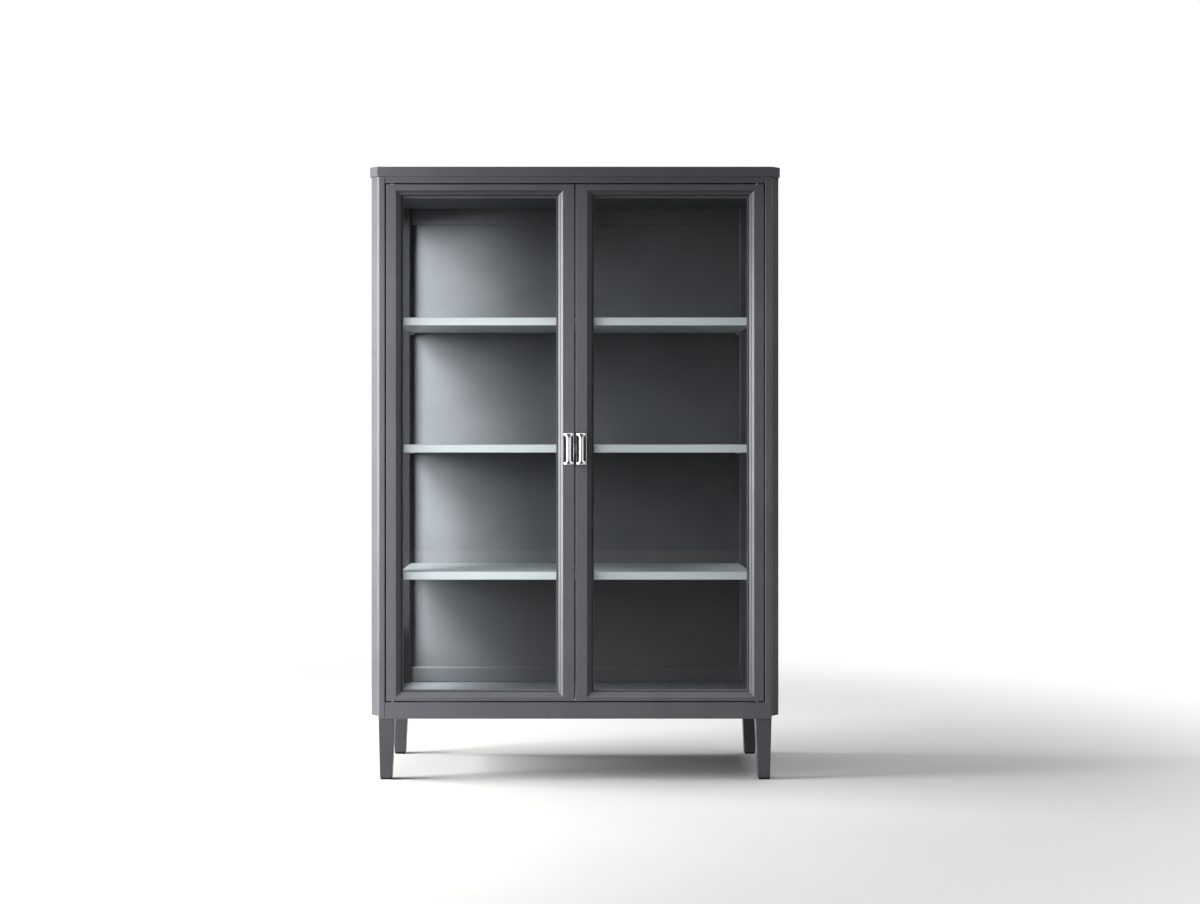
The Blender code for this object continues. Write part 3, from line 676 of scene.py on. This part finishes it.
poleLook = {
    "width": 0.016, "height": 0.0030, "corner": 0.0006, "thick": 0.0005, "ease": 0.0002, "steps": 3,
    "row": 0.0028,  # from the middle of the catch up or down to a pole
}
shape = bmesh.new()
for side in sides.values():
    for row in (-1, 1):
        centre = (side * catch[1].x / 2, catch[0].y, catchMiddle + row * poleLook["row"])
        addPlate(shape, centre, (1, 0, 0), (0, 0, 1), poleLook)
newPiece("catch_pole_plates", shape, "bright_steel", "carcase")

sleeveLook = {"bore": 0.0026, "rim": 0.0046, "thick": 0.0007, "ease": 0.0002}
shape = bmesh.new()
for shelf in ("lower", "middle", "upper"):
    for row in ("front", "rear"):
        for sideName, side in sides.items():
            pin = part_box(f"{shelf}_shelf_pin_{row}_{sideName}")
            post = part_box(f"{row}_{sideName}_post")
            postInside = post[1].x if side < 0 else post[0].x
            centre = (postInside, (pin[0].y + pin[1].y) / 2, (pin[0].z + pin[1].z) / 2)
            addTurned(shape, collarRings(sleeveLook), centre, (-side, 0, 0), capped=False)
newPiece("shelf_pin_sleeves", shape, "bright_steel", "carcase")

washerLook = {"bore": 0.0047, "rim": 0.0070, "thick": 0.0012, "ease": 0.0003}
shape = bmesh.new()
for sideName in sides:
    for end, facingUp in (("bottom", 1), ("top", -1)):
        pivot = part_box(f"{sideName}_door_{end}_pivot")
        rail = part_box(f"front_{end}_rail")
        face = rail[1].z if facingUp > 0 else rail[0].z
        centre = ((pivot[0].x + pivot[1].x) / 2, (pivot[0].y + pivot[1].y) / 2, face)
        addTurned(shape, collarRings(washerLook), centre, (0, 0, facingUp), capped=False)
newPiece("pivot_washers", shape, "black_nylon", "carcase")

backScrewLook = {"radius": 0.0038, "height": 0.0020, "key": 0.0013, "deep": 0.0008}
backScrews = {"down": 7, "along": 5, "edge": 0.006, "end": 0.030}
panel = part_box("back_panel")
shape = bmesh.new()
spots = []
for step in range(backScrews["down"]):
    share = step / (backScrews["down"] - 1)
    z = panel[0].z + backScrews["end"] + share * (panel[1].z - panel[0].z - 2 * backScrews["end"])
    spots += [(panel[0].x + backScrews["edge"], z), (panel[1].x - backScrews["edge"], z)]
for rail in (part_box("back_bottom_rail"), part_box("back_top_rail")):
    for step in range(1, backScrews["along"] + 1):
        x = panel[0].x + step / (backScrews["along"] + 1) * (panel[1].x - panel[0].x)
        spots.append((x, (rail[0].z + rail[1].z) / 2))
for x, z in spots:
    addTurned(shape, screwRings(backScrewLook), (x, panel[1].y, z), (0, 1, 0))
newPiece("back_panel_screws", shape, "bright_steel", "carcase")
print("fittings made")


# Studio: pale floor, white sweep, soft lamps

lightLook = {
    "white": "#FFFFFF",
    "ambient": 0.05,  # level of the room for light that has bounced
    "dark": 0.08,  # level of the dark opening behind the camera, as metal and glass show it
    "darkCone": (0.985, 0.93),  # cosines from the opening's middle, between which it turns white
    "rightWall": (0.75, 0.95, 0.35),  # between these cosines from +X the room falls off to this level
    "floorBounce": "#2E2E2E",  # the floor for light that has bounced
}
noBounce = 0.5  # a ray with a depth below this has not bounced yet

world = bpy.data.worlds.new("whiteStudio")
bpy.context.scene.world = world
world.use_nodes = True
tree = world.node_tree
ray = addNode(tree, "ShaderNodeLightPath", {})
# white straight to the camera or through a pane
straight = addNode(
    tree, "ShaderNodeMath", {0: ray["Is Camera Ray"], 1: ray["Is Transmission Ray"]}, operation="MAXIMUM",
)
direct = addNode(tree, "ShaderNodeMath", {0: ray["Glossy Depth"], 1: noBounce}, operation="LESS_THAN")
straight = addNode(tree, "ShaderNodeMath", {0: straight, 1: direct}, operation="MULTIPLY")
# seen straight or in a reflection, and not by light that has bounced off a dull surface
shown = addNode(tree, "ShaderNodeMath", {0: straight, 1: ray["Is Glossy Ray"]}, operation="MAXIMUM")
first = addNode(tree, "ShaderNodeMath", {0: ray["Diffuse Depth"], 1: noBounce}, operation="LESS_THAN")
shown = addNode(tree, "ShaderNodeMath", {0: shown, 1: first}, operation="MULTIPLY")
# the room as reflections show it: white, with the opening in front and a dimmer right wall
heading = addNode(tree, "ShaderNodeTexCoord", {})["Generated"]
front = addNode(tree, "ShaderNodeVectorMath", {0: heading, 1: (0.0, -1.0, 0.0)}, operation="DOT_PRODUCT")
inner, outer = lightLook["darkCone"]
room = addNode(tree, "ShaderNodeMapRange", {0: front, 1: inner, 2: outer, 3: lightLook["dark"], 4: 1.0})
aside = addNode(tree, "ShaderNodeSeparateXYZ", {0: heading})["X"]
near, far, wall = lightLook["rightWall"]
aside = addNode(tree, "ShaderNodeMapRange", {0: aside, 1: near, 2: far, 3: 1.0, 4: wall})
room = addNode(tree, "ShaderNodeMath", {0: room, 1: aside}, operation="MULTIPLY")
level = addNode(tree, "ShaderNodeMath", {0: straight, 1: room}, operation="MAXIMUM")
strength = addNode(tree, "ShaderNodeMix", {0: shown, 2: lightLook["ambient"], 3: level}, data_type="FLOAT")
feed(tree, tree.nodes["Background"], {"Color": hexToLinear(lightLook["white"]), "Strength": strength})

floorLook = {
    "paint": "#F5F5F3",
    "worn": "#FAFAF9",
    "roughness": 0.9,
    "cloud": 0.40,
    "half": 9.0,
    "squares": 12,
    "sweep": (1.0, 2.4),  # metres from the middle, between which the paint turns into the white sweep
    "mirrored": (-1.4, -0.9),  # in front of this the sweep is left out of reflections
}

# Matt emulsion rolled on a studio floor: an even off-white that fades into the white behind it
floorMaterial, tree, shader, place = startMaterial("rolledFloorEmulsion")
ray = addNode(tree, "ShaderNodeLightPath", {})
first = addNode(tree, "ShaderNodeMath", {0: ray["Diffuse Depth"], 1: noBounce}, operation="LESS_THAN")
cloud = addNode(
    tree, "ShaderNodeTexNoise", {"Vector": place, "Scale": 1 / floorLook["cloud"], "Detail": 2.0},
)[0]
paint = addNode(
    tree, "ShaderNodeMix", {0: cloud, 6: hexToLinear(floorLook["paint"]), 7: hexToLinear(floorLook["worn"])},
    data_type="RGBA",
)
paint = addNode(
    tree, "ShaderNodeMix", {0: first, 6: hexToLinear(lightLook["floorBounce"]), 7: paint}, data_type="RGBA",
)
feed(tree, shader, {"Base Color": paint, "Roughness": floorLook["roughness"], "Specular IOR Level": 0.0})
distance = addNode(tree, "ShaderNodeVectorMath", {0: place}, operation="LENGTH")
near, far = floorLook["sweep"]
fade = addNode(
    tree, "ShaderNodeMapRange", {0: distance, 1: near, 2: far}, interpolation_type="SMOOTHSTEP",
)
depth = addNode(tree, "ShaderNodeSeparateXYZ", {0: place})["Y"]
blind, clear = floorLook["mirrored"]
seen = addNode(tree, "ShaderNodeMapRange", {0: depth, 1: blind, 2: clear})
for straight in (ray["Is Camera Ray"], ray["Is Transmission Ray"]):
    seen = addNode(tree, "ShaderNodeMath", {0: seen, 1: straight}, operation="MAXIMUM")
fade = addNode(tree, "ShaderNodeMath", {0: fade, 1: seen}, operation="MULTIPLY")
fade = addNode(tree, "ShaderNodeMath", {0: fade, 1: first}, operation="MULTIPLY")
white = addNode(tree, "ShaderNodeEmission", {"Color": hexToLinear(lightLook["white"]), "Strength": 1.0})
sweep = addNode(tree, "ShaderNodeMixShader", {0: fade, 1: shader.outputs[0], 2: white})
feed(tree, tree.nodes["Material Output"], {"Surface": sweep})

shape = bmesh.new()
bmesh.ops.create_grid(
    shape, x_segments=floorLook["squares"], y_segments=floorLook["squares"], size=floorLook["half"],
)
floor = meshObject("studio_floor", shape)
floor.data.materials.append(floorMaterial)

flagLook = {
    "across": (-0.76, 0.40),
    "up": (1.30, 2.5),
    "y": -0.5,
    "felt": "#121212",
    "worn": "#1C1C1C",
    "roughness": 0.95,
    "nap": 0.004,
}

# Black wool felt, pressed: dull, with a soft nap. The flag hangs in front of the upper right,
# holds the left lamp back there, and shows only by its shade.
feltMaterial, tree, shader, place = startMaterial("pressedBlackFelt")
nap = addNode(tree, "ShaderNodeTexNoise", {"Vector": place, "Scale": 1 / flagLook["nap"], "Detail": 2.0})[0]
felt = addNode(
    tree, "ShaderNodeMix", {0: nap, 6: hexToLinear(flagLook["felt"]), 7: hexToLinear(flagLook["worn"])},
    data_type="RGBA",
)
feed(tree, shader, {"Base Color": felt, "Roughness": flagLook["roughness"]})
left, right = flagLook["across"]
bottom, top = flagLook["up"]
corners = ((left, bottom), (right, bottom), (right, top), (left, top))
shape = bmesh.new()
shape.faces.new([shape.verts.new((x, flagLook["y"], z)) for x, z in corners])
flag = meshObject("lamp_flag", shape)
flag.data.materials.append(feltMaterial)
flag.visible_camera = flag.visible_glossy = flag.visible_diffuse = flag.visible_transmission = False

# A lamp's glow is its level, lights names the linking below, and levels gives each lamp of a column its share
plainLamp = {"spread": 180, "levels": (1.0,), "lift": 0.0, "diffuse": True, "glossy": True}
sideColumn = {
    "place": (-0.78, -0.31, 0.58), "size": (0.36, 0.22), "spread": 125, "lift": 0.307, "glossy": False,
}
softboxes = {
    "leftSoftbox": {
        "place": (-2.5, -1.2, 1.05), "aim": (-0.2, -0.2, 0.75), "size": (1.8, 1.7), "glow": 11.8,
        "lights": "cabinet",
    },
    "floorSoftbox": {  # lights the floor alone, from low on the left, so that it stays white
        "place": (-3.4, -0.2, 1.1), "aim": (-0.2, 0.0, 0.5), "size": (1.8, 1.8), "glow": 30.0,
        "lights": "floor",
    },
    "frontSoftbox": {
        "place": (-1.15, -1.7, 0.75), "aim": (0.0, -0.1, 0.75), "size": (0.9, 1.2), "glow": 2.0,
        "lights": "frame",
    },
    "topSoftbox": {
        "place": (0.3, 0.2, 3.3), "aim": (0.3, 0.2, 0.0), "size": (3.6, 1.6), "glow": 3.4,
        "lights": "outside",
    },
    "rearSoftbox": {  # for the views from behind and from the right
        "place": (2.6, 3.0, 1.5), "aim": (0.2, 0.1, 0.75), "size": (1.6, 1.8), "glow": 6.0,
        "lights": "rear",
    },
    "leftKicker": {  # only a highlight along the left arris
        "place": (-1.04, -0.444, 0.86), "aim": (-0.49, -0.2, 0.86), "size": (0.12, 1.66), "glow": 12.0,
        "lights": "leftArris", "diffuse": False,
    },
    "rightKicker": {
        "place": (1.03, -0.454, 0.86), "aim": (0.49, -0.2, 0.86), "size": (0.12, 1.66), "glow": 4.0,
        "lights": "rightArris", "diffuse": False,
    },
    "sideLamps": {  # a column of gridded lamps that look down through the left pane
        **sideColumn, "aim": (-0.25, 0.187, -0.12), "glow": 51.0, "levels": (0.50, 0.80, 0.95, 1.0),
        "lights": "inside",
    },
    "shelfTopLamps": {  # the same way in for the tops of the shelves, far dimmer
        **sideColumn, "aim": (-0.35, 0.187, -0.12), "glow": 5.0, "levels": (1.0, 1.0, 1.0, 1.0),
        "lights": "shelves",
    },
    "cornerLamp": {  # looks level into the top compartment
        "place": (-0.78, -0.35, 1.38), "aim": (-0.35, 0.187, 1.36), "size": (0.16, 0.10), "glow": 30.0,
        "spread": 70, "lights": "inside", "glossy": False,
    },
}
insideNodes = ("back_panel", "back_top_rail", "back_bottom_rail", "floor_panel")
shelfNodes = ("lower_shelf", "middle_shelf", "upper_shelf")
linkedNodes = {  # which nodes a lamp leaves out, or is kept for
    "outside": ("EXCLUDE", [*insideNodes, "ceiling_panel"]),
    "cabinet": ("EXCLUDE", [*insideNodes, *shelfNodes, "ceiling_panel", "studio_floor"]),
    "floor": ("INCLUDE", ["studio_floor"]),
    "frame": ("EXCLUDE", [*insideNodes, *shelfNodes, "ceiling_panel"]),
    "rear": ("EXCLUDE", [*shelfNodes, "floor_panel", "ceiling_panel", "studio_floor"]),
    "inside": ("INCLUDE", insideNodes),
    "shelves": ("INCLUDE", shelfNodes),
    "leftArris": ("INCLUDE", ["front_left_post", "top_slab", "left_door_meeting_stile"]),
    "rightArris": ("INCLUDE", ["front_right_post", "top_slab"]),
}
shelfLamp = {"place": (-0.45, -1.2), "aim": (-0.2, 0.0), "size": (1.0, 0.12), "glow": 18.5}
for shelf in shelfNodes:  # a lamp level with each shelf, which leaves its underside dark
    low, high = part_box(shelf)
    shelfZ = (low.z + high.z) / 2
    softboxes[shelf + "Lamp"] = {
        **shelfLamp, "place": (*shelfLamp["place"], shelfZ), "aim": (*shelfLamp["aim"], shelfZ),
        "lights": shelf,
    }
    linkedNodes[shelf] = ("INCLUDE", [shelf])

litObjects = {**frame["nodes"], "studio_floor": floor}
linkings = {}
for name, (state, litNames) in linkedNodes.items():
    linkings[name] = bpy.data.collections.new(name + "Linking")
    for litName in litNames:
        linkings[name].objects.link(litObjects[litName])
    for entry in linkings[name].collection_objects:
        entry.light_linking.link_state = state

for name, own in softboxes.items():
    look = {**plainLamp, **own}
    width, height = look["size"]
    aim = Vector(look["aim"]) - Vector(look["place"])
    for step, share in enumerate(look["levels"]):
        lamp = bpy.data.lights.new(f"{name}{step}", "AREA")
        lamp.shape = "RECTANGLE"
        lamp.size, lamp.size_y = width, height
        lamp.energy = share * look["glow"] * math.pi * width * height  # watts for an even glow of that level
        lamp.spread = math.radians(look["spread"])
        holder = bpy.data.objects.new(f"{name}{step}", lamp)
        holder.location = Vector(look["place"]) + Vector((0, 0, step * look["lift"]))
        holder.rotation_euler = aim.to_track_quat("-Z", "Y").to_euler()
        holder.visible_camera = False
        holder.visible_transmission = False  # panes already let a lamp's light straight through
        holder.visible_diffuse = look["diffuse"]
        holder.visible_glossy = look["glossy"]  # off where it would streak the boards inside
        holder.light_linking.receiver_collection = linkings[look["lights"]]
        bpy.context.scene.collection.objects.link(holder)
print("studio lit")

# Camera: level, on the middle plane, framed by shift as the photograph is
cameraLook = {"place": (0.0, -4.484, 0.834), "sensor": 36.0, "lens": 52.75, "shift": (0.0208, -0.0108)}
lens = bpy.data.cameras.new("photoCamera")
lens.sensor_width = cameraLook["sensor"]
lens.lens = cameraLook["lens"]
lens.shift_x, lens.shift_y = cameraLook["shift"]
camera = bpy.data.objects.new("photoCamera", lens)
camera.location = cameraLook["place"]
camera.rotation_euler = (math.radians(90), 0.0, 0.0)
bpy.context.scene.collection.objects.link(camera)
bpy.context.scene.camera = camera
bpy.context.scene.view_settings.view_transform = "Standard"
print("camera set")
